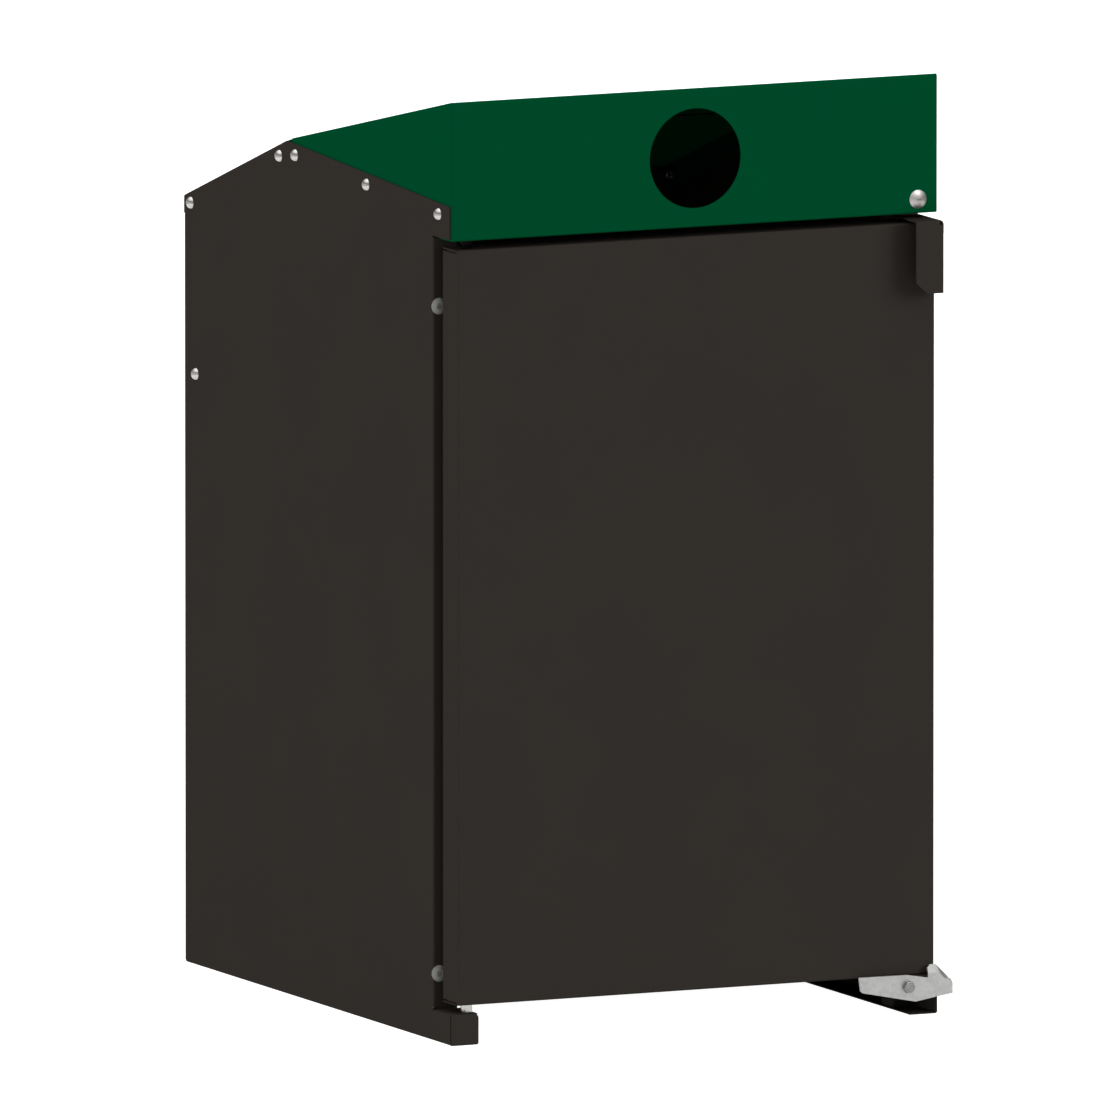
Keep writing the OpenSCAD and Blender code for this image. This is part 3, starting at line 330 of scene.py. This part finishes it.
lock_low, lock_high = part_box("lock_housing")
lock_centre = [(low + high) / 2 for low, high in zip(lock_low, lock_high)]
dress(["lock_housing", "lock_barrel"], turned_steel("turned stainless steel", "#d2cecb", 0.5, lock_centre))


# The pedal latch is a flame-cut plate, hot-dip galvanised: pale grey, dull, with a faint zinc spangle.
# The bolt that it turns on is spun galvanised, so it is darker and rougher.
MOTTLES_IN_SPANGLE = 4
SPANGLE_DEPTH = 0.3 * MM
SPANGLE_GLOSS_SPREAD = 0.08


def galvanised(name, colour, dark_colour, roughness, spangle_mm):
    """Hot-dip zinc: a tone for each crystal of a Voronoi pattern, under a finer cloudy mottle."""
    material, tree, spot = new_material(name)
    crystals = add(tree, "ShaderNodeTexVoronoi", {"Scale": 1 / (spangle_mm * MM)}, {"Vector": spot})
    mottle = add(tree, "ShaderNodeTexNoise", {"Scale": MOTTLES_IN_SPANGLE / (spangle_mm * MM),
                                              "Detail": 3.0}, {"Vector": spot})
    crystal_tone = add(tree, "ShaderNodeSeparateColor", links={"Color": crystals.outputs["Color"]})
    blend = add(tree, "ShaderNodeMix", {"Factor": 0.5}, {"A": crystal_tone.outputs["Red"],
                                                        "B": mottle.outputs["Fac"]}, data_type="FLOAT")
    tones = add(tree, "ShaderNodeMix", {"A": linear(dark_colour), "B": linear(colour)}, data_type="RGBA")
    tree.links.new(blend.outputs["Result"], tones.inputs["Factor"])
    gloss = add(tree, "ShaderNodeMapRange", {"To Min": roughness - SPANGLE_GLOSS_SPREAD,
                                             "To Max": roughness + SPANGLE_GLOSS_SPREAD},
                {"Value": blend.outputs["Result"]})
    runs = add(tree, "ShaderNodeBump", {"Strength": 0.15, "Distance": SPANGLE_DEPTH},
               {"Height": mottle.outputs["Fac"]})
    shader = add(tree, "ShaderNodeBsdfPrincipled", {"Metallic": 1.0},
                 {"Base Color": tones.outputs["Result"], "Roughness": gloss.outputs["Result"],
                  "Normal": runs.outputs["Normal"]})
    finish_material(tree, shader)
    return material


dress(["latch_plate"], galvanised("hot-dip galvanised plate", "#c4c4c2", "#a8a8a6", 0.5, 6.0))
dress(["latch_bolt"], galvanised("spun galvanised bolt", "#a2a2a0", "#6e6e6c", 0.4, 2.5))
